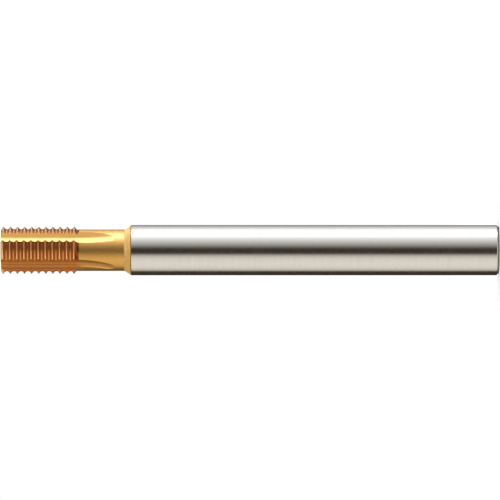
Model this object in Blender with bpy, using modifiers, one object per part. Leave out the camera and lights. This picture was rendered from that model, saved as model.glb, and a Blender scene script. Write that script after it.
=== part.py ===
"""A thread mill with four straight flutes, ground from one rod of solid carbide.

It stands on the end of its shank. +Z runs along the axis to the cutting tip, and the origin is the centre
of the shank's end face. Seen from the front (-Y), one land faces the viewer and carries its cutting edge on
its +X side, so the tool cuts as it turns about +Z. The teeth are rings and not a helix: every row of teeth
has its crests at the same heights.
"""

from math import acos, cos, degrees, pi, radians, sin, tan

import bmesh
import bpy
from mathutils import Matrix, Vector

MM = 0.001

# The ground blank
OVERALL_LENGTH = 99.0 * MM
SHANK_DIAMETER = 10.0 * MM
END_CHAMFER = 0.45 * MM
SHOULDER_ANGLE = radians(32.0)  # between the shoulder cone and the axis
SHOULDER_FILLET = 0.6 * MM
NECK_DIAMETER = 8.25 * MM
PLAIN_NECK_LENGTH = 2.0 * MM  # from the end of the flutes to the shoulder
TIP_FACE_DIAMETER = 8.6 * MM

# The rings of teeth
CUTTING_DIAMETER = 9.82 * MM
PITCH = 25.4 / 18 * MM
TOOTH_COUNT = 11
FLANK_ANGLE = radians(30.0)  # between a flank and a plane across the axis
CREST_WIDTH = PITCH / 10
TOOTH_DEPTH = 0.355 * PITCH
LAST_ROOT_RUN = 0.3 * MM  # length over which the last root blends into the neck
RELIEF_ANGLE = radians(8.0)  # between a land and the circle that its cutting edge runs on

# The flutes, each described by the section that its grinding wheel leaves
FLUTE_COUNT = 4
LAND_ANGLE = radians(48.5)
RAKE_ANGLE = radians(15.0)  # the face below the cutting edge is undercut by this much
CORE_DIAMETER = 6.65 * MM
FLOOR_ANGLE = radians(11.7)  # the floor faces this far ahead of the cutting edge
HEEL_LEAN = radians(45.0)  # between the heel wall and the radius through the heel
RAKE_FILLET = 0.6 * MM
HEEL_FILLET = 1.5 * MM
WHEEL_RADIUS = 37.5 * MM
RUNOUT_LENGTH = 7.0 * MM  # from the teeth to where the wheel has left the neck
FRONT_EDGE_ANGLE = radians(-65.7)  # the cutting edge of the land that faces -Y, from +X

# Fineness and working allowances
RING_STEPS = 72
ROOT_STEPS = 4
FILLET_STEPS = 4
WHEEL_STEPS = 9
AXIS_MERGE = 0.001 * MM
SHARP_ANGLE = radians(25.0)
CUTTER_REACH = 2.0 * MM  # how far a cutter's mouth stands out past the land
CUTTER_MARGIN = 0.2 * MM  # how far a cutter runs past the faces that it goes through

# Heights and radii that follow from the sizes above
SHANK_RADIUS = SHANK_DIAMETER / 2
NECK_RADIUS = NECK_DIAMETER / 2
CREST_RADIUS = CUTTING_DIAMETER / 2
ROOT_RADIUS = CREST_RADIUS - TOOTH_DEPTH
CORE_RADIUS = CORE_DIAMETER / 2
HEEL_DROP = CREST_RADIUS * tan(RELIEF_ANGLE) * LAND_ANGLE  # how far a land has fallen away at its heel
TIP_FACE_RADIUS = TIP_FACE_DIAMETER / 2
FIRST_CREST = OVERALL_LENGTH - (CREST_RADIUS - TIP_FACE_RADIUS) * tan(FLANK_ANGLE) - CREST_WIDTH / 2
LAST_ROOT = FIRST_CREST - (TOOTH_COUNT - 0.5) * PITCH
NECK_TOP = LAST_ROOT - LAST_ROOT_RUN
FLUTE_END = NECK_TOP - RUNOUT_LENGTH
NECK_BOTTOM = FLUTE_END - PLAIN_NECK_LENGTH
SHANK_TOP = NECK_BOTTOM - abs(SHANK_RADIUS - NECK_RADIUS) / tan(SHOULDER_ANGLE)
FLUTE_PITCH = 2 * pi / FLUTE_COUNT


def clear_scene():
    for old in list(bpy.data.objects):
        bpy.data.objects.remove(old)


def new_collection(name):
    collection = bpy.data.collections.new(name)
    bpy.context.scene.collection.children.link(collection)
    return collection


def new_material(name, color, roughness, metallic):
    material = bpy.data.materials.new(name)
    material.use_nodes = True
    shader = material.node_tree.nodes["Principled BSDF"]
    shader.inputs["Base Color"].default_value = (*color, 1.0)
    shader.inputs["Roughness"].default_value = roughness
    shader.inputs["Metallic"].default_value = metallic
    return material


def direction(angle):
    return Vector((cos(angle), sin(angle)))


def rounded_corner(before, corner, after, radius, steps):
    """Points of the arc of this radius that touches both straight stretches beside the corner."""
    back = (before - corner).normalized()
    ahead = (after - corner).normalized()
    half = back.angle(ahead) / 2
    centre = corner + (back + ahead).normalized() * radius / sin(half)
    start = corner + back * radius / tan(half) - centre
    turn = pi - 2 * half
    if back.cross(ahead) > 0:
        turn = -turn
    return [centre + Matrix.Rotation(turn * i / steps, 2) @ start for i in range(steps + 1)]


def crossing(point, along, other_point, other_along):
    """Where two straight lines meet, each given by a point and a direction."""
    share = (other_point - point).cross(other_along) / along.cross(other_along)
    return point + along * share


def root_outline(height, last):
    """The rounded root at this height, from its upper flank down: an arc that both flanks touch."""
    sharp_depth = (PITCH - CREST_WIDTH) / 2 / tan(FLANK_ANGLE)
    radius = (sharp_depth - TOOTH_DEPTH) / (1 / sin(FLANK_ANGLE) - 1)
    swing = pi / 2 - FLANK_ANGLE
    steps = ROOT_STEPS // 2 if last else ROOT_STEPS
    angles = [swing * (1 - 2 * i / ROOT_STEPS) for i in range(steps + 1)]
    return [(ROOT_RADIUS + radius * (1 - cos(a)), height + radius * sin(a)) for a in angles]


def teeth_outline():
    """Crests and roots from the tip down, as radius and height."""
    points = []
    for tooth in range(TOOTH_COUNT):
        crest = FIRST_CREST - tooth * PITCH
        points.append((CREST_RADIUS, crest + CREST_WIDTH / 2))
        points.append((CREST_RADIUS, crest - CREST_WIDTH / 2))
        points += root_outline(crest - PITCH / 2, last=tooth == TOOTH_COUNT - 1)
    return points


def shoulder_outline():
    """The fillet at the foot of the shoulder cone, and the cone's edge at the shank."""
    neck_top = Vector((NECK_RADIUS, NECK_TOP))
    corner = Vector((NECK_RADIUS, NECK_BOTTOM))
    shank_edge = Vector((SHANK_RADIUS, SHANK_TOP))
    fillet = rounded_corner(neck_top, corner, shank_edge, SHOULDER_FILLET, FILLET_STEPS)
    return [tuple(p) for p in fillet] + [tuple(shank_edge)]


def blank_outline():
    """The whole outline from the centre of the tip to the centre of the shank's end."""
    points = [(0.0, OVERALL_LENGTH), (TIP_FACE_RADIUS, OVERALL_LENGTH)]
    points += teeth_outline()
    points.append((NECK_RADIUS, NECK_TOP))
    points += shoulder_outline()
    points += [(SHANK_RADIUS, END_CHAMFER), (SHANK_RADIUS - END_CHAMFER, 0.0), (0.0, 0.0)]
    return points


def turned_mesh(name, outline):
    """The mesh that the outline makes when it is turned about Z."""
    profile = bpy.data.meshes.new(name)
    last = len(outline) - 1
    profile.from_pydata([(r, 0.0, z) for r, z in outline], [(i, i + 1) for i in range(last)], [])
    lathe = bpy.data.objects.new(name, profile)
    bpy.context.scene.collection.objects.link(lathe)
    screw = lathe.modifiers.new("turn", "SCREW")
    screw.steps = RING_STEPS
    screw.render_steps = RING_STEPS
    screw.use_merge_vertices = True
    screw.merge_threshold = AXIS_MERGE
    graph = bpy.context.evaluated_depsgraph_get()
    mesh = bpy.data.meshes.new_from_object(lathe.evaluated_get(graph))
    bpy.data.objects.remove(lathe)
    # Half a step round, so that the flutes cut between two columns of vertices and never along one.
    mesh.transform(Matrix.Rotation(pi / RING_STEPS, 4, "Z"))
    return mesh


def relief_behind_edge(angle):
    """How far the land has fallen away at this angle, with the cutting edges at 0 and at each flute pitch."""
    behind = -angle % FLUTE_PITCH
    if behind < (LAND_ANGLE + FLUTE_PITCH) / 2:
        return HEEL_DROP * min(behind / LAND_ANGLE, 1.0)
    return 0.0


def relieve_lands(mesh):
    """Moves the teeth inwards behind each cutting edge, so that the land clears the work."""
    for vertex in mesh.vertices:
        flat = vertex.co.xy
        if vertex.co.z > NECK_TOP + AXIS_MERGE and flat.length > AXIS_MERGE:
            drop = relief_behind_edge(Vector((1.0, 0.0)).angle_signed(flat) * -1)
            vertex.co.xy = flat * (1 - drop / flat.length)


def flute_section():
    """The outline of one flute across the axis, with its cutting edge on the local X axis."""
    edge = Vector((CREST_RADIUS, 0.0))
    rake = direction(pi + RAKE_ANGLE)
    floor = direction(FLOOR_ANGLE) * CORE_RADIUS
    along_floor = direction(FLOOR_ANGLE + pi / 2)
    heel_angle = FLUTE_PITCH - LAND_ANGLE
    heel = direction(heel_angle) * (CREST_RADIUS - HEEL_DROP)
    heel_wall = direction(heel_angle + pi + HEEL_LEAN)
    rake_mouth = edge - rake * CUTTER_REACH
    rake_corner = crossing(edge, rake, floor, along_floor)
    heel_corner = crossing(heel, heel_wall, floor, along_floor)
    heel_mouth = heel - heel_wall * CUTTER_REACH
    section = [rake_mouth]
    section += rounded_corner(rake_mouth, rake_corner, heel_corner, RAKE_FILLET, FILLET_STEPS)
    section += rounded_corner(rake_corner, heel_corner, heel_mouth, HEEL_FILLET, FILLET_STEPS)
    section.append(heel_mouth)
    return section


def wheel_path():
    """Heights and lifts of the section: straight along the teeth, then out of the neck on the wheel's arc."""
    leave = acos(1 - (NECK_RADIUS - CORE_RADIUS) / WHEEL_RADIUS)
    end = acos(1 - (NECK_RADIUS + CUTTER_MARGIN - CORE_RADIUS) / WHEEL_RADIUS)
    straight_end = FLUTE_END + WHEEL_RADIUS * sin(leave)
    stations = [(OVERALL_LENGTH + CUTTER_MARGIN, 0.0)]
    for step in range(WHEEL_STEPS + 1):
        angle = end * step / WHEEL_STEPS
        stations.append((straight_end - WHEEL_RADIUS * sin(angle), WHEEL_RADIUS * (1 - cos(angle))))
    return stations


def flute_cutter_mesh():
    """The space that one flute takes out of the blank."""
    outward = direction(FLOOR_ANGLE).to_3d()
    places = [outward * lift + Vector((0.0, 0.0, height)) for height, lift in wheel_path()]
    shape = bmesh.new()
    start = [shape.verts.new(point.to_3d() + places[0]) for point in flute_section()]
    ring = list(shape.faces.new(start).edges)
    for here, there in zip(places, places[1:]):
        grown = bmesh.ops.extrude_edge_only(shape, edges=ring)["geom"]
        moved = [item for item in grown if isinstance(item, bmesh.types.BMVert)]
        bmesh.ops.translate(shape, verts=moved, vec=there - here)
        ring = [item for item in grown if isinstance(item, bmesh.types.BMEdge) and item.is_boundary]
    bmesh.ops.edgeloop_fill(shape, edges=ring)
    bmesh.ops.recalc_face_normals(shape, faces=shape.faces)
    mesh = bpy.data.meshes.new("flute_cutter")
    shape.to_mesh(mesh)
    shape.free()
    return mesh


def add_flute_cutters(collection, material):
    """One cutter for each flute, spaced evenly round the axis."""
    mesh = flute_cutter_mesh()
    mesh.materials.append(material)
    cutters = []
    for flute in range(FLUTE_COUNT):
        cutter = bpy.data.objects.new(f"flute_cutter_{flute + 1}", mesh)
        cutter.rotation_euler.z = FRONT_EDGE_ANGLE + flute * FLUTE_PITCH
        cutter.display_type = "WIRE"
        cutter.hide_render = True
        collection.objects.link(cutter)
        cutters.append(cutter)
    return cutters


def add_thread_mill(collection, cutters, bare, coated):
    """The blank with its flutes cut, coated from the tip to the shoulder and bare along the shank."""
    mesh = turned_mesh("thread_mill", blank_outline())
    relieve_lands(mesh)
    mesh.shade_smooth()
    mesh.set_sharp_from_angle(angle=SHARP_ANGLE)
    mesh.materials.append(bare)
    mesh.materials.append(coated)
    for face in mesh.polygons:
        face.material_index = 1 if face.center.z > SHANK_TOP else 0
    mill = bpy.data.objects.new("thread_mill", mesh)
    mill.rotation_euler.z = FRONT_EDGE_ANGLE
    collection.objects.link(mill)
    for cutter in cutters:
        cut = mill.modifiers.new(cutter.name, "BOOLEAN")
        cut.operation = "DIFFERENCE"
        cut.solver = "EXACT"
        cut.material_mode = "TRANSFER"
        cut.object = cutter
    return mill


def main():
    clear_scene()
    bare = new_material("ground_carbide", (0.52, 0.51, 0.49), 0.28, 1.0)
    coated = new_material("gold_coated_carbide", (0.76, 0.45, 0.16), 0.3, 1.0)
    tool = new_collection("thread_mill")
    helpers = new_collection("cutters")
    cutters = add_flute_cutters(helpers, coated)
    add_thread_mill(tool, cutters, bare, coated)
    print(f"thread mill: {TOOTH_COUNT} teeth in {FLUTE_COUNT} rows, flutes end at {FLUTE_END / MM:.2f} mm")
    print(f"shoulder {degrees(SHOULDER_ANGLE):.0f} degrees, shank {SHANK_TOP / MM:.2f} mm long")


main()
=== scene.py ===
# Thread mill: the finished surface, the gold coating, the ground shank, the studio and the camera
import math

import bpy
import numpy as np
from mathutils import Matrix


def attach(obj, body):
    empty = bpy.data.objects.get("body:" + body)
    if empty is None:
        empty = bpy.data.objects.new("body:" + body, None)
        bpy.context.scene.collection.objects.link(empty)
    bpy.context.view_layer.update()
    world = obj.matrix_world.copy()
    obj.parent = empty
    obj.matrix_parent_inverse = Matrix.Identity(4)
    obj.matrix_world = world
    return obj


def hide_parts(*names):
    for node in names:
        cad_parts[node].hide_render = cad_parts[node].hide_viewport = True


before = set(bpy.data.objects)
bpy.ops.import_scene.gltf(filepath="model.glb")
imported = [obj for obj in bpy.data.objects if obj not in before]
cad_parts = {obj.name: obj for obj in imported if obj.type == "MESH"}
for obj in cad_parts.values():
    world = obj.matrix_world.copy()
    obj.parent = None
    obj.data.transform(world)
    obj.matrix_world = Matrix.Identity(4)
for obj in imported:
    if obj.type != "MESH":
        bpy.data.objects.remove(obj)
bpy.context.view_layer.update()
mm = 0.001
print("frame loaded")


# The tool's surface: one grid of rows down the profile and columns round the section

tool = {  # millimetres and degrees, the same as the solid's
    "length": 99.0,
    "shankDiameter": 9.994,  # inside the grinder's tolerance, and inside the solid's flat facets
    "endChamfer": 0.45,
    "shoulderAngle": 32.0,
    "shoulderFillet": 0.6,
    "neckDiameter": 8.25,
    "plainNeck": 2.0,
    "tipFaceDiameter": 8.6,
    "cuttingDiameter": 9.82,
    "pitch": 25.4 / 18,
    "teeth": 11,
    "flankAngle": 30.0,
    "crestShare": 1 / 10,  # a crest's width, of the pitch
    "depthShare": 0.355,  # from crest to root, of the pitch
    "lastRootRun": 0.3,  # from the last root down to the neck
    "reliefAngle": 8.0,
    "flutes": 4,  # angles from here on are in the section, round the axis
    "landAngle": 48.5,
    "rakeAngle": 15.0,
    "coreDiameter": 6.65,
    "floorAngle": 11.7,
    "heelLean": 45.0,
    "rakeFillet": 0.6,
    "heelFillet": 1.5,
    "wheelRadius": 37.5,
    "runout": 7.0,
    "frontEdge": -65.7,  # where the front land's cutting edge is
    # finer than the solid
    "crestRounding": 0.08,
    "edgeRounding": 0.06,
    "endRounding": 0.22,
    "rootTurn": 10.0,  # degrees of arc from one row to the next
    "neckRows": 70,  # closer together towards the flutes' ends
    "plainRowGap": 6.0,
    "coatingRim": 0.2,  # height of the brown rim at the foot of the cone
    "darkEnd": 0.36,  # height below which the shank's end has the chamfer's painted shade
    "landColumns": 24,
    "fluteColumns": (5, 9, 5, 5, 6),  # rake, its fillet, floor, its fillet, heel wall
    "sectionPoints": 1600,  # fine points along a flute's outline
    "sectionTurn": 1.0,  # degrees of arc between two of its first, coarse points
    "longestChord": 0.05,  # between such points on an arc: a longer stretch is a straight one
    "footGap": 0.01,  # how near the core a point of the floor lies
    "sliver": 0.006,  # a column nearer than this to a flute's rim joins the rim
    "sharpAngle": 34.0,  # degrees between two faces whose edge stays sharp
    "paintedLightSlopes": (2.0, 15.0),  # degrees: a tooth's painted highlight on crests and roots passes into painted shade on its flanks
    "rootTone": 0.5,  # painted light in a root, between the 0 of a flank and the 1 of a crest
    "paintedHighlightDepth": 0.26,  # depth of the painted highlight band on a crest
    "edgeBand": (2.0, 9.0),  # degrees behind an edge over which its painted shade fades out
    "edgeFade": 1.5,  # below the teeth, where the rake faces lose that look too
}

crestR = tool["cuttingDiameter"] / 2
neckR = tool["neckDiameter"] / 2
shankR = tool["shankDiameter"] / 2
coreR = tool["coreDiameter"] / 2
tipR = tool["tipFaceDiameter"] / 2
pitch = tool["pitch"]
flank = math.radians(tool["flankAngle"])
crest = pitch * tool["crestShare"]
rootR = crestR - pitch * tool["depthShare"]
flutePitch = 2 * math.pi / tool["flutes"]
heelDrop = crestR * math.tan(math.radians(tool["reliefAngle"])) * math.radians(tool["landAngle"])
firstCrest = tool["length"] - (crestR - tipR) * math.tan(flank) - crest / 2
lastRoot = firstCrest - (tool["teeth"] - 0.5) * pitch
neckTop = lastRoot - tool["lastRootRun"]
fluteEnd = neckTop - tool["runout"]
neckBottom = fluteEnd - tool["plainNeck"]
shankTop = neckBottom - (shankR - neckR) / math.tan(math.radians(tool["shoulderAngle"]))


def roundedPath(corners, radii, turn):
    # Straight stretches joined by arcs. An arc of radius r touches both stretches beside its corner, with its
    # centre r / sin(half the angle) along the bisector, and has one point for each turn of this many degrees.
    corners = np.array(corners, float)
    path = [corners[:1]]
    for before, corner, after, radius in zip(corners, corners[1:], corners[2:], radii):
        back = (before - corner) / np.linalg.norm(before - corner)
        ahead = (after - corner) / np.linalg.norm(after - corner)
        half = math.acos(np.clip(back @ ahead, -1, 1)) / 2
        if radius == 0:
            path.append(corner[None])
            continue
        bisector = (back + ahead) / np.linalg.norm(back + ahead)
        centre = corner + bisector * radius / math.sin(half)
        swing = math.pi / 2 - half
        steps = max(2, math.ceil(math.degrees(2 * swing) / turn))
        a = np.linspace(-swing, swing, steps + 1)[:, None]
        across = (ahead - back) / np.linalg.norm(ahead - back)
        path.append(centre - bisector * radius * np.cos(a) + across * radius * np.sin(a))
    path.append(corners[-1:])
    return np.concatenate(path)


def toolProfile():
    # Radius and height of each row from the rim of the tip face down to the rim of the shank's end face.
    sharpDepth = (pitch - crest) / 2 / math.tan(flank)
    rootRounding = (sharpDepth - (crestR - rootR)) / (1 / math.sin(flank) - 1)
    corners = [(0, tool["length"]), (tipR, tool["length"])]
    radii = [tool["edgeRounding"]]
    for tooth in range(tool["teeth"]):
        top = firstCrest - tooth * pitch
        corners += [(crestR, top + crest / 2), (crestR, top - crest / 2)]
        corners += [(crestR - sharpDepth, top - pitch / 2)]
        radii += [tool["crestRounding"], tool["crestRounding"], rootRounding]
    corners[-1] = (rootR, lastRoot + rootRounding * math.tan(flank))
    corners += [(neckR, neckTop), (neckR, neckBottom), (shankR, shankTop)]
    radii += [0, tool["shoulderFillet"], tool["edgeRounding"]]
    corners += [(shankR, tool["endChamfer"]), (shankR - tool["endChamfer"], 0), (0, 0)]
    radii += [tool["endRounding"], tool["endRounding"]]
    path = roundedPath(corners, radii, tool["rootTurn"])[1:-1]
    fine = fluteEnd + (neckTop - fluteEnd) * np.linspace(0, 1, tool["neckRows"])[:-1] ** 2
    plain = np.arange(tool["plainRowGap"], shankTop - tool["plainRowGap"] / 2, tool["plainRowGap"])
    fineRows = np.stack([np.full(len(fine), neckR), fine], 1)
    plainRows = np.stack([np.full(len(plain), shankR), plain], 1)
    rimR = shankR - tool["coatingRim"] * math.tan(math.radians(tool["shoulderAngle"]))
    path = np.concatenate([path, fineRows, [(rimR, shankTop + tool["coatingRim"])], plainRows])
    straight = path[:, 1] < neckTop
    order = np.argsort(-path[straight, 1], kind="stable")
    return np.concatenate([path[~straight], path[straight][order]])


def easedDown(value, low, high):
    # 1 up to low and 0 from high on, with s^2 (3 - 2s) between.
    share = np.clip((high - value) / (high - low), 0, 1)
    return share**2 * (3 - 2 * share)


def toothPaintedLight(profile):
    # Painted light by the profile's slope: 1 for the painted highlight on a crest, the root's tone for the
    # painted highlight in the middle of a root and 0 for the painted shade on the flanks, eased by that
    # slope.
    step = np.gradient(profile, axis=0)
    slope = np.degrees(np.arctan2(np.abs(step[:, 0]), np.abs(step[:, 1])))
    root = tool["rootTone"] * easedDown(slope, *tool["paintedLightSlopes"])
    return np.where(profile[:, 0] > crestR - tool["paintedHighlightDepth"], 1, root)


def nearEdgeOnLand(angle):
    # 1 at a cutting edge, easing to 0 over the band behind it, which gets a painted shade on the teeth.
    # Angles behind the edge are negative.
    return easedDown(-np.degrees(angle), *tool["edgeBand"])


def reliefBehindEdge(angle):
    # A land falls away evenly with the angle behind its edge. Edges are at 0 and at each flute pitch.
    land = math.radians(tool["landAngle"])
    behind = -angle % flutePitch
    return np.where(behind < (land + flutePitch) / 2, heelDrop * np.clip(behind / land, 0, 1), 0)


def fluteSection():
    # The flute's outline across the axis, from outside the rake face round to outside the heel wall, as fine
    # points with their run along it, and the runs at which its five stretches begin and end.
    def direction(degrees):
        return np.array([math.cos(math.radians(degrees)), math.sin(math.radians(degrees))])

    def crossing(point, along, otherPoint, otherAlong):
        share = np.linalg.solve(np.stack([along, -otherAlong], 1), otherPoint - point)[0]
        return point + along * share

    reach = 2.0  # how far both walls run on past the lands
    heelAngle = math.degrees(flutePitch) - tool["landAngle"]
    edge = np.array([crestR, 0.0])
    rake = direction(180 + tool["rakeAngle"])
    floor = direction(tool["floorAngle"]) * coreR
    alongFloor = direction(tool["floorAngle"] + 90)
    heel = direction(heelAngle) * (crestR - heelDrop)
    wall = direction(heelAngle + 180 + tool["heelLean"])
    rakeCorner = crossing(edge, rake, floor, alongFloor)
    heelCorner = crossing(heel, wall, floor, alongFloor)
    corners = [edge - rake * reach, rakeCorner, heelCorner, heel - wall * reach]
    coarse = roundedPath(corners, [tool["rakeFillet"], tool["heelFillet"]], tool["sectionTurn"])
    chords = np.linalg.norm(np.diff(coarse, axis=0), axis=1)
    coarseRun = np.concatenate([[0], np.cumsum(chords)])
    straight = np.flatnonzero(chords > tool["longestChord"])
    ends = coarseRun[np.stack([straight, straight + 1], 1)].ravel()
    run = np.linspace(0, coarseRun[-1], tool["sectionPoints"])
    points = np.stack([np.interp(run, coarseRun, coarse[:, k]) for k in (0, 1)], 1)
    return run, points, ends


def wheelLift(z):
    # The grinding wheel runs straight along the teeth and then leaves on its own arc: R (1 - cos a).
    leave = math.acos(1 - (neckR - coreR) / tool["wheelRadius"])
    straightEnd = fluteEnd + tool["wheelRadius"] * math.sin(leave)
    sine = np.clip((straightEnd - z) / tool["wheelRadius"], 0, 1)
    return tool["wheelRadius"] * (1 - np.sqrt(1 - sine**2))


def toolSurface():
    # Returns points, the number of the point at each row and column, and the looks and flags of both.
    # In each row a land is an arc of radius R(z) less the relief, and a flute is its section moved outwards
    # by the wheel's lift and cut off where it meets the lands. A column beyond that shares the rim's point.
    profile = toolProfile()
    R, z = profile[:, 0], profile[:, 1]
    run, section, ends = fluteSection()
    floorAngle = math.radians(tool["floorAngle"])
    floorDirection = np.array([math.cos(floorAngle), math.sin(floorAngle)])
    lift = wheelLift(z)
    reliefShare = np.clip((z - neckTop) / tool["lastRootRun"], 0, 1)
    rows = np.arange(len(z))

    moved = section[None] + lift[:, None, None] * floorDirection
    radius, angle = np.hypot(moved[..., 0], moved[..., 1]), np.arctan2(moved[..., 1], moved[..., 0])
    outside = radius - (R[:, None] - reliefShare[:, None] * reliefBehindEdge(angle))
    inside = outside < 0
    opened = inside.any(1) & (z > fluteEnd)
    first = np.where(opened, inside.argmax(1), 1)
    last = np.where(opened, len(run) - 1 - inside[:, ::-1].argmax(1), 1)

    def rim(low):
        # The run at which the outline passes through the land's surface, between fine points low and low + 1.
        share = outside[rows, low] / (outside[rows, low] - outside[rows, low + 1])
        return run[low] + share * (run[low + 1] - run[low])

    # Where there is no flute, its columns all stand at one point, at the middle of the floor.
    foot = run[np.argmin(np.abs(angle[0] - floorAngle) + (radius[0] > coreR + tool["footGap"]))]
    start = np.where(opened, rim(first - 1), foot)
    end = np.where(opened, rim(np.minimum(last, len(run) - 2)), foot)

    # All rows have their columns at the same runs, apart from the first, which is the row's own rim.
    knots = [np.linspace(a, b, n + 1)[:-1] for a, b, n in zip(
        [start.min(), *ends[1:5]], [*ends[1:5], end.max()], tool["fluteColumns"])]
    knots = np.concatenate(knots)[1:]
    sliver = tool["sliver"]
    fluteRuns = np.concatenate([start[:, None], np.broadcast_to(knots, (len(z), len(knots)))], 1)
    beforeRim = fluteRuns < start[:, None] + sliver
    beforeRim[:, 0] = False
    pastRim = (fluteRuns > end[:, None] - sliver) & ~beforeRim
    pastRim[:, 0] = False

    def onFlute(at):
        flat = np.stack([np.interp(at, run, section[:, k]) for k in (0, 1)], -1)
        return flat + (lift[:, None] if at.ndim == 2 else lift)[..., None] * floorDirection

    flutePoints = onFlute(fluteRuns)
    heelPoints = onFlute(end)
    closed = floorDirection * R[:, None]
    flutePoints[~opened] = closed[~opened][:, None]
    heelPoints[~opened] = closed[~opened]

    edgeAngle = np.arctan2(flutePoints[:, 0, 1], flutePoints[:, 0, 0])
    heelAngle = np.arctan2(heelPoints[:, 1], heelPoints[:, 0]) - flutePitch
    share = np.linspace(0, 1, tool["landColumns"] + 1)[:-1]
    landAngles = heelAngle[:, None] + share * (edgeAngle - heelAngle)[:, None]
    landRadius = R[:, None] - reliefShare[:, None] * reliefBehindEdge(landAngles)
    landRadius[:, 0] = np.hypot(heelPoints[:, 0], heelPoints[:, 1])
    landPoints = landRadius[..., None] * np.stack([np.cos(landAngles), np.sin(landAngles)], -1)

    # Masks of the edge and corner looks: on the lands, the painted shade behind each cutting edge; in the
    # flutes, the rake faces, and the painted shade along the rake fillet.
    inCorner = (fluteRuns > ends[1]) & (fluteRuns < ends[2])
    nearEdge = np.concatenate([nearEdgeOnLand(landAngles), fluteRuns <= ends[1]], 1)
    nearCorner = np.concatenate([np.zeros_like(landAngles), inCorner], 1)
    fade = np.clip((z - neckTop) / tool["edgeFade"] + 1, 0, 1)[:, None]

    def allRound(look):
        # The look of one land and flute on all of them, fading out below the teeth.
        faded = (look * fade)[:, None]
        return np.broadcast_to(faded, (len(z), tool["flutes"], faded.shape[-1])).ravel()

    period = np.concatenate([landPoints, flutePoints], 1)
    count = period.shape[1]
    land = tool["landColumns"]
    turns = math.radians(tool["frontEdge"]) + flutePitch * np.arange(tool["flutes"])
    c, s = np.cos(turns)[:, None], np.sin(turns)[:, None]
    x = period[:, None, :, 0] * c - period[:, None, :, 1] * s
    y = period[:, None, :, 0] * s + period[:, None, :, 1] * c
    height = np.broadcast_to(z[:, None, None], x.shape)
    points = np.stack([x, y, height], -1).reshape(-1, 3)

    columns = count * tool["flutes"]
    number = rows[:, None] * columns + np.arange(columns)
    number = number.reshape(len(z), tool["flutes"], count)
    edgeNumber = number[:, :, land]
    heelNumber = np.roll(number[:, :, 0], -1, axis=1)
    heelNumber = np.where(opened[:, None], heelNumber, edgeNumber)
    number[:, :, 0] = np.roll(heelNumber, 1, axis=1)
    flute = number[:, :, land:]
    flute[:] = np.where(beforeRim[:, None], edgeNumber[..., None], flute)
    flute[:] = np.where(pastRim[:, None], heelNumber[..., None], flute)
    number = number.reshape(len(z), columns)

    isFlute = np.tile(np.arange(count) >= land, tool["flutes"])
    rimColumns = np.tile(np.isin(np.arange(count), (0, land)), tool["flutes"])
    # The teeth's painted light: highlights on the crests and roots and shade on the flanks, by slope.
    paintedLightTone = np.repeat(toothPaintedLight(profile), columns)
    looks = {"paintedLightTone": paintedLightTone, "nearEdge": allRound(nearEdge), "nearCorner": allRound(nearCorner)}
    return points, number, looks, z, opened, isFlute, rimColumns


def ringFaces(number):
    # The corners of faces that join each row of points to the next, all the way round.
    right = np.roll(number, -1, axis=1)
    return np.stack([number[:-1], number[1:], right[1:], right[:-1]], -1).reshape(-1, 4)


finishes = ["shank", "neck", "flute", "tooth", "cone", "rim", "chamfer"]  # the order of the materials


def surfaceMesh(name, points, number, looks, z, opened, isFlute, rimColumns):
    # Faces join each row to the next all the way round. Where columns share a point, a face has three corners
    # or vanishes. One flat face closes each end. The first of these places that a face is in sets its finish.
    flute = np.broadcast_to(isFlute, number.shape)[:-1] & opened[:-1, None]
    rowHeight = np.broadcast_to(((z[:-1] + z[1:]) / 2)[:, None], flute.shape)
    places = {
        "chamfer": rowHeight < tool["darkEnd"],
        "shank": rowHeight < shankTop,
        "rim": rowHeight < shankTop + tool["coatingRim"],
        "cone": rowHeight < neckBottom,
        "flute": flute,
        "tooth": rowHeight > neckTop,
    }
    numbers = [finishes.index(place) for place in places]
    finish = np.select(list(places.values()), numbers, finishes.index("neck")).ravel()
    quads = ringFaces(number)
    keep = quads != np.roll(quads, 1, axis=1)
    corners = keep.sum(1)
    proper = (corners >= 3) & (quads[:, 0] != quads[:, 2]) & (quads[:, 1] != quads[:, 3])
    faces = [q[k].tolist() for q, k in zip(quads[proper], keep[proper])]
    finish = finish[proper].tolist()

    def ring(row):
        loop = number[row]
        return loop[loop != np.roll(loop, 1)].tolist()

    faces += [ring(0), ring(-1)[::-1]]
    finish += [finishes.index("neck"), finishes.index("shank")]
    used = np.unique(np.concatenate([np.array(f) for f in faces]))
    place = np.zeros(len(points), int)
    place[used] = np.arange(len(used))
    mesh = bpy.data.meshes.new(name)
    mesh.from_pydata((points[used] * mm).tolist(), [], [place[f].tolist() for f in faces])
    mesh.polygons.foreach_set("material_index", np.array(finish, np.int32))
    mesh.shade_smooth()
    mesh.set_sharp_from_angle(angle=math.radians(tool["sharpAngle"]))

    rims = [np.stack([number[:-1, k], number[1:, k]], 1)[opened[:-1]] for k in np.flatnonzero(rimColumns)]
    rims = np.sort(place[np.concatenate(rims)], 1)
    edges = np.zeros(len(mesh.edges) * 2, np.int32)
    mesh.edges.foreach_get("vertices", edges)
    edges = np.sort(edges.reshape(-1, 2), 1)
    size = len(used)
    isRim = np.isin(edges[:, 0] * size + edges[:, 1], rims[:, 0] * size + rims[:, 1])
    sharp = mesh.attributes.get("sharp_edge") or mesh.attributes.new("sharp_edge", "BOOLEAN", "EDGE")
    already = np.zeros(len(mesh.edges), bool)
    sharp.data.foreach_get("value", already)
    sharp.data.foreach_set("value", already | isRim)
    for label, values in looks.items():
        layer = mesh.attributes.new(label, "FLOAT", "POINT")
        layer.data.foreach_set("value", values[used].astype(np.float32))
    mesh.validate()
    mesh.update()
    return mesh


# Finishes

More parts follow.
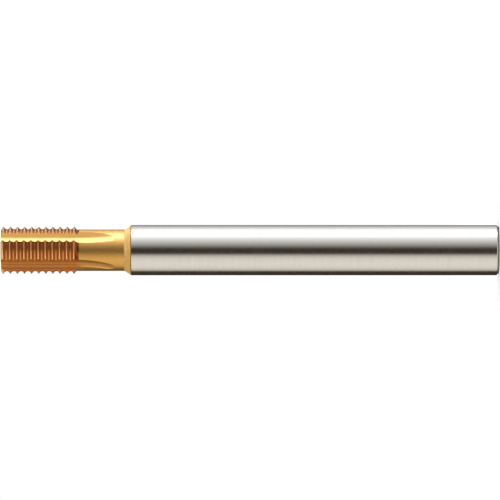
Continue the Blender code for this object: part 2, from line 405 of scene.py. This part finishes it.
def linear(hexColour):
    # From sRGB to linear by the sRGB curve.
    values = np.array([int(hexColour[i:i + 2], 16) for i in (1, 3, 5)]) / 255
    values = np.where(values <= 0.04045, values / 12.92, ((values + 0.055) / 1.055) ** 2.4)
    return (*values.tolist(), 1.0)


def addNode(tree, kind, inputs, **settings):
    # A node with its settings. An input is a value, or the output socket that feeds it.
    node = tree.nodes.new("ShaderNode" + kind)
    for name, value in settings.items():
        setattr(node, name, value)
    for name, value in inputs.items():
        if isinstance(value, bpy.types.NodeSocket):
            tree.links.new(value, node.inputs[name])
        else:
            node.inputs[name].default_value = value
    return node


def emptyMaterial(name):
    material = bpy.data.materials.new(name)
    material.use_nodes = True
    material.node_tree.nodes.clear()
    return material, material.node_tree


groundShank = {  # tungsten carbide, centreless ground: grey and bright, with fine marks round the rod
    "colour": "#D6D1C5",
    "darkColour": "#CCC7BB",
    "roughness": (0.15, 0.22),
    "markGap": 0.3,  # millimetres, coarser than the real grit so that it shows
    "markLength": 9.0,
    "bump": 0.03,
}

chamferPaintedShade = {  # the shank's end chamfer, rougher and painted dark: a painted reflection of the shadowed floor under the end, a dark ring at the end of a bright rod
    "colour": "#7C776E",
    "darkColour": "#6A655D",
    "roughness": (0.35, 0.45),
    "markGap": 0.3,
    "markLength": 9.0,
    "bump": 0.03,
}

toothCoating = {  # titanium nitride on the teeth: painted highlights on the crests and roots, painted copper brown shade on the flanks
    "flankPaintedShade": "#A35A2A",
    "rootPaintedHighlight": "#E89C52",
    "crestPaintedHighlight": "#FFCA88",
    # painted shade on the lands behind each cutting edge, multiplied in up to edgeShare
    "edgeColour": "#A86040",
    "edgeShare": 0.8,
    "darkShade": 0.9,
    "roughness": (0.3, 0.4),
    "markGap": 0.2,
    "markLength": 7.0,
    "bump": 0.03,
}

goldCoating = {  # titanium nitride on ground carbide: a warm gold that keeps the grinding marks below it
    "colour": "#DFAC5E",
    "darkColour": "#D59F50",
    "roughness": (0.4, 0.47),
    "markGap": 0.25,
    "markLength": 7.0,
    "bump": 0.03,
}

coneCoatingPaintedPale = {  # the same coating on the cone, ground more coarsely and so rougher, its colour painted paler: painted light for the bright, even light it catches
    "colour": "#F8DA90",
    "darkColour": "#E4C276",
    "roughness": (0.85, 0.95),
    "markGap": 0.5,
    "markLength": 2.5,
    "bump": 0.05,
}

rimCoating = {  # the foot of the cone, where the thinning coating turns brown before the bare shank
    "colour": "#A87C46",
    "darkColour": "#946A38",
    "roughness": (0.6, 0.7),
    "markGap": 0.5,
    "markLength": 2.5,
    "bump": 0.05,
}

fluteCoating = {  # the same coating in the flutes, where the wheel's marks run along the tool, painted a little paler than the neck's as painted light for the flute floors
    "colour": "#E4B062",
    "darkColour": "#D69C4E",
    "edgeColour": "#FFBE78",  # the narrow rake faces take this orange colour in place of the flute's own
    "edgeShare": 1.0,
    "cornerPaintedShade": "#E4A860",  # painted shade: a browner line along the fillet beside the rake face
    "edgeRoughness": 0.75,
    "roughness": (0.36, 0.44),
    "markGap": 0.16,
    "markLength": 12.0,
    "bump": 0.1,
}

grain = {  # of the noise that draws the grinding marks
    "detail": 4.0,
    "contrast": 0.65,
    "span": (0.3, 0.7),  # the noise's own low and high
    "depth": 0.02,  # millimetres, before each look's share of it
}


def groundFinish(name, look, along):
    # Grinding marks are noise stretched along the wheel's path: far finer across the marks than along them.
    # along is True where the marks run along the tool and False where they run round it. Where the look has
    # tooth colours, a point attribute of painted light chooses between them by the profile's slope: painted
    # highlights on the crests and roots and painted shade on the flanks; the marks only shade them. An edge
    # colour multiplies a painted shade onto the lands behind each cutting edge, or takes the place of the
    # flutes' own colour on the rake faces, as the nearEdge attribute rises to 1. A corner colour, a painted
    # shade along
    # the rake fillets, goes with it: it takes over as nearCorner rises, and both have the edge roughness.
    material, tree = emptyMaterial(name)
    across, lengthwise = 1 / (look["markGap"] * mm), 1 / (look["markLength"] * mm)
    scale = (across, across, lengthwise) if along else (lengthwise, lengthwise, across)
    place = addNode(tree, "TexCoord", {})
    stretched = addNode(tree, "Mapping", {"Vector": place.outputs["Object"], "Scale": scale})
    marks = addNode(tree, "TexNoise", {
        "Vector": stretched.outputs["Vector"], "Scale": 1.0,
        "Detail": grain["detail"], "Roughness": grain["contrast"]})
    toothed = "flankPaintedShade" in look
    if toothed:
        paintedLightTone = addNode(tree, "Attribute", {}, attribute_name="paintedLightTone")
        ramp = addNode(tree, "ValToRGB", {"Fac": paintedLightTone.outputs["Fac"]})
        ramp.color_ramp.elements.new(tool["rootTone"])
        for element, colour in zip(ramp.color_ramp.elements, ("flankPaintedShade", "rootPaintedHighlight", "crestPaintedHighlight")):
            element.color = linear(look[colour])
        shade = addNode(tree, "MapRange", {
            "Value": marks.outputs["Fac"], "To Min": look["darkShade"], "To Max": 1.0})
        colour = addNode(tree, "MixRGB", {
            "Fac": 1.0, "Color1": ramp.outputs["Color"], "Color2": shade.outputs["Result"]},
            blend_type="MULTIPLY")
    else:
        colour = addNode(tree, "MixRGB", {
            "Fac": marks.outputs["Fac"],
            "Color1": linear(look["darkColour"]), "Color2": linear(look["colour"])})
    low, high = look["roughness"]
    faint, strong = grain["span"]
    rough = addNode(tree, "MapRange", {
        "Value": marks.outputs["Fac"], "From Min": faint, "From Max": strong, "To Min": high, "To Max": low})
    if "edgeColour" in look:
        nearEdge = addNode(tree, "Attribute", {}, attribute_name="nearEdge")
        share = addNode(tree, "Math", {
            0: nearEdge.outputs["Fac"], 1: look["edgeShare"]}, operation="MULTIPLY")
        colour = addNode(tree, "MixRGB", {
            "Fac": share.outputs[0], "Color1": colour.outputs["Color"], "Color2": linear(look["edgeColour"])},
            blend_type="MULTIPLY" if toothed else "MIX")
    if "cornerPaintedShade" in look:
        nearCorner = addNode(tree, "Attribute", {}, attribute_name="nearCorner")
        colour = addNode(tree, "MixRGB", {
            "Fac": nearCorner.outputs["Fac"],
            "Color1": colour.outputs["Color"], "Color2": linear(look["cornerPaintedShade"])})
        either = addNode(tree, "Math", {
            0: nearEdge.outputs["Fac"], 1: nearCorner.outputs["Fac"]}, operation="ADD")
        rough = addNode(tree, "MapRange", {
            "Value": either.outputs[0], "To Min": rough.outputs["Result"], "To Max": look["edgeRoughness"]})
    bump = addNode(tree, "Bump", {
        "Height": marks.outputs["Fac"], "Strength": look["bump"], "Distance": grain["depth"] * mm})
    shader = addNode(tree, "BsdfPrincipled", {
        "Base Color": colour.outputs["Color"], "Roughness": rough.outputs["Result"],
        "Normal": bump.outputs["Normal"], "Metallic": 1.0})
    addNode(tree, "OutputMaterial", {"Surface": shader.outputs["BSDF"]})
    return material


def addTool():
    mesh = surfaceMesh("threadMill", *toolSurface())
    materials = {
        "shank": ("groundTungstenCarbide", groundShank, False),
        "neck": ("titaniumNitrideOnGroundCarbide", goldCoating, False),
        "flute": ("titaniumNitrideInGroundFlutes", fluteCoating, True),
        "tooth": ("titaniumNitrideOnTeethWithPaintedLight", toothCoating, False),
        "cone": ("titaniumNitrideOnConePaintedPale", coneCoatingPaintedPale, False),
        "rim": ("thinTitaniumNitrideOnConeFoot", rimCoating, False),
        "chamfer": ("chamferWithPaintedShade", chamferPaintedShade, False),
    }
    for finish in finishes:
        mesh.materials.append(groundFinish(*materials[finish]))
    piece = bpy.data.objects.new("threadMill", mesh)
    bpy.context.scene.collection.objects.link(piece)
    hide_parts("thread_mill")
    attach(piece, "root")
    print("tool made:", len(mesh.polygons), "faces")
    return piece


# Studio: a pale floor, a tent of diffusion cloth with dark flags, a top lamp and a white background

studio = {
    "tentRadius": 600.0,
    "tentMiddle": 75.0,  # millimetres above the floor
    "tentElevations": (-40.0, -30.0, 30.0, 40.0),  # degrees seen from there
    "tentLevels": (0.6, 1.0, 1.0, 0.6),  # the cloth dims towards its hems
    "tentStep": 2.0,  # degrees
    "clothMiddle": 86.0,  # degrees round the tool from the camera's side towards +X
    "clothHalfWidth": 79.0,  # degrees, as its lamp's spread and the wall's span and ease are
    "clothGlow": 2.0,
    "lampSpread": 7.0,  # the bright patch that the lamp behind the cloth makes
    "lampGlow": 6.4,
    "lampTint": (0.76, 0.93, 1.8),  # cooler than the cloth
    "wallGlow": 1.07,
    "wallSpan": (-115.0, -15.5),
    "wallEase": 12.0,
    "clothTint": (0.94, 0.98, 1.06),  # cooler than the walls
    "flagGlow": (0.05, 0.04, 0.032),  # the dark cloth between them
    "floorRadius": 900.0,
    "floorGap": 0.05,  # keeps the floor's face clear of the end face that stands on it
    "floorSides": 96,
    "floorFade": (120.0, 420.0),  # from the tool, over which the paint passes into white
    "floorColour": "#F4F3F0",
    "worldLevel": 0.9,
    "lampSize": 500.0,
    "lampHeight": 900.0,
    "lampPower": 3.0,
}


def addStage(name, mesh, material):
    piece = bpy.data.objects.new(name, mesh)
    mesh.materials.append(material)
    bpy.context.scene.collection.objects.link(piece)
    return piece


def ringMesh(name, points):
    # A grid of points as a mesh, joined round the columns.
    rows, columns = points.shape[:2]
    number = np.arange(rows * columns).reshape(rows, columns)
    mesh = bpy.data.meshes.new(name)
    mesh.from_pydata((points.reshape(-1, 3) * mm).tolist(), [], ringFaces(number).tolist())
    return mesh


def addTent():
    # A ring of constant radius round the tool. The cloth's glow falls evenly from its middle line, with the
    # lamp's bell shaped patch on it. The wall's eases in as 1 - exp(-distance / ease) from each end. The rest
    # is flags.
    degrees = np.arange(-180.0, 180.0, studio["tentStep"])
    angle = np.radians(degrees)
    ring = np.stack([studio["tentRadius"] * np.sin(angle), -studio["tentRadius"] * np.cos(angle)], -1)
    heights = studio["tentMiddle"] + studio["tentRadius"] * np.tan(np.radians(studio["tentElevations"]))
    points = np.stack([np.column_stack([ring, np.full(len(ring), h)]) for h in heights])
    mesh = ringMesh("tent", points)
    away = np.abs((degrees - studio["clothMiddle"] + 180) % 360 - 180)
    cloth = studio["clothGlow"] * np.clip(1 - away / studio["clothHalfWidth"], 0, 1)
    lamp = studio["lampGlow"] * np.exp(-(away / studio["lampSpread"]) ** 2 / 2)
    low, high = studio["wallSpan"]
    inside = np.clip([degrees - low, high - degrees], 0, None)
    wall = studio["wallGlow"] * np.prod(1 - np.exp(-inside / studio["wallEase"]), 0)
    glow = cloth[:, None] * studio["clothTint"] + lamp[:, None] * studio["lampTint"] + wall[:, None]
    glow = glow * np.array(studio["tentLevels"])[:, None, None] + studio["flagGlow"]
    glow = np.concatenate([glow, np.ones_like(glow[..., :1])], -1)
    layer = mesh.attributes.new("glow", "FLOAT_COLOR", "POINT")
    layer.data.foreach_set("color", glow.astype(np.float32).ravel())
    material, tree = emptyMaterial("diffusionCloth")
    level = addNode(tree, "Attribute", {}, attribute_name="glow")
    light = addNode(tree, "Emission", {"Color": level.outputs["Color"], "Strength": 1.0})
    addNode(tree, "OutputMaterial", {"Surface": light.outputs["Emission"]})
    tent = addStage("tent", mesh, material)
    tent.visible_camera = False
    tent.visible_diffuse = False
    tent.visible_shadow = False


def seenWhite(tree):
    # 1 for camera, glossy and transmission rays, so that metal shows the same white as the background.
    ray = addNode(tree, "LightPath", {}).outputs
    both = addNode(tree, "Math", {0: ray["Is Camera Ray"], 1: ray["Is Glossy Ray"]}, operation="MAXIMUM")
    return addNode(tree, "Math", {0: both.outputs[0], 1: ray["Is Transmission Ray"]}, operation="MAXIMUM")


def addFloor():
    # A disc that keeps the tool's shadow near the tool and passes into the white background further out.
    turn = np.linspace(0, 2 * math.pi, studio["floorSides"] + 1)[:-1]
    rim = np.stack([np.cos(turn), np.sin(turn), np.zeros(len(turn))], -1) * studio["floorRadius"]
    rim[:, 2] = -studio["floorGap"]
    mesh = bpy.data.meshes.new("floor")
    mesh.from_pydata((rim * mm).tolist(), [], [range(len(rim))])
    material, tree = emptyMaterial("matPaintedTable")
    place = addNode(tree, "TexCoord", {})
    distance = addNode(tree, "VectorMath", {0: place.outputs["Object"]}, operation="LENGTH")
    near, far = studio["floorFade"]
    fade = addNode(tree, "MapRange", {
        "Value": distance.outputs["Value"], "From Min": near * mm, "From Max": far * mm},
        interpolation_type="SMOOTHSTEP")
    share = addNode(tree, "Math", {
        0: fade.outputs["Result"], 1: seenWhite(tree).outputs[0]}, operation="MULTIPLY")
    paint = addNode(tree, "BsdfDiffuse", {"Color": linear(studio["floorColour"])})
    white = addNode(tree, "Emission", {"Color": (1, 1, 1, 1), "Strength": 1.0})
    both = addNode(tree, "MixShader", {
        0: share.outputs[0], 1: paint.outputs["BSDF"], 2: white.outputs["Emission"]})
    addNode(tree, "OutputMaterial", {"Surface": both.outputs["Shader"]})
    floor = addStage("floor", mesh, material)
    floor.visible_glossy = False


def addTopLamp():
    lamp = bpy.data.lights.new("topLamp", "AREA")
    lamp.size = studio["lampSize"] * mm
    lamp.energy = studio["lampPower"]
    holder = bpy.data.objects.new("topLamp", lamp)
    holder.location.z = studio["lampHeight"] * mm
    holder.visible_camera = False
    holder.visible_glossy = False
    bpy.context.scene.collection.objects.link(holder)


def addWorld():
    world = bpy.data.worlds.new("whiteRoom")
    world.use_nodes = True
    tree = world.node_tree
    tree.nodes.clear()
    level = addNode(tree, "MapRange", {
        "Value": seenWhite(tree).outputs[0], "To Min": studio["worldLevel"], "To Max": 1.0})
    room = addNode(tree, "Background", {"Color": (1, 1, 1, 1), "Strength": level.outputs["Result"]})
    addNode(tree, "OutputWorld", {"Surface": room.outputs["Background"]})
    bpy.context.scene.world = world


# Camera

photo = {
    "pixels": 500,
    "pixelSize": 0.19905,  # millimetres of tool in one pixel of the photograph
    "middle": (0.04, 49.49),  # X and Z that the middle of the photograph shows
    "distance": 1200.0,
    "sensor": 36.0,
    "farthest": 10.0,  # metres that the camera sees
}


def addCamera():
    # The photograph lies on its side: its right is the tool's -Z and its top is +X, seen from the front.
    lens = bpy.data.cameras.new("camera")
    lens.sensor_width = photo["sensor"]
    lens.lens = photo["sensor"] * photo["distance"] / (photo["pixels"] * photo["pixelSize"])
    lens.clip_end = photo["farthest"]
    camera = bpy.data.objects.new("camera", lens)
    x, z = photo["middle"]
    camera.location = (x * mm, -photo["distance"] * mm, z * mm)
    camera.rotation_euler = (math.pi / 2, math.pi / 2, 0)
    bpy.context.scene.collection.objects.link(camera)
    bpy.context.scene.camera = camera


addTool()
addTent()
addFloor()
addTopLamp()
addWorld()
addCamera()
bpy.context.scene.view_settings.view_transform = "Standard"
print("studio and camera made")
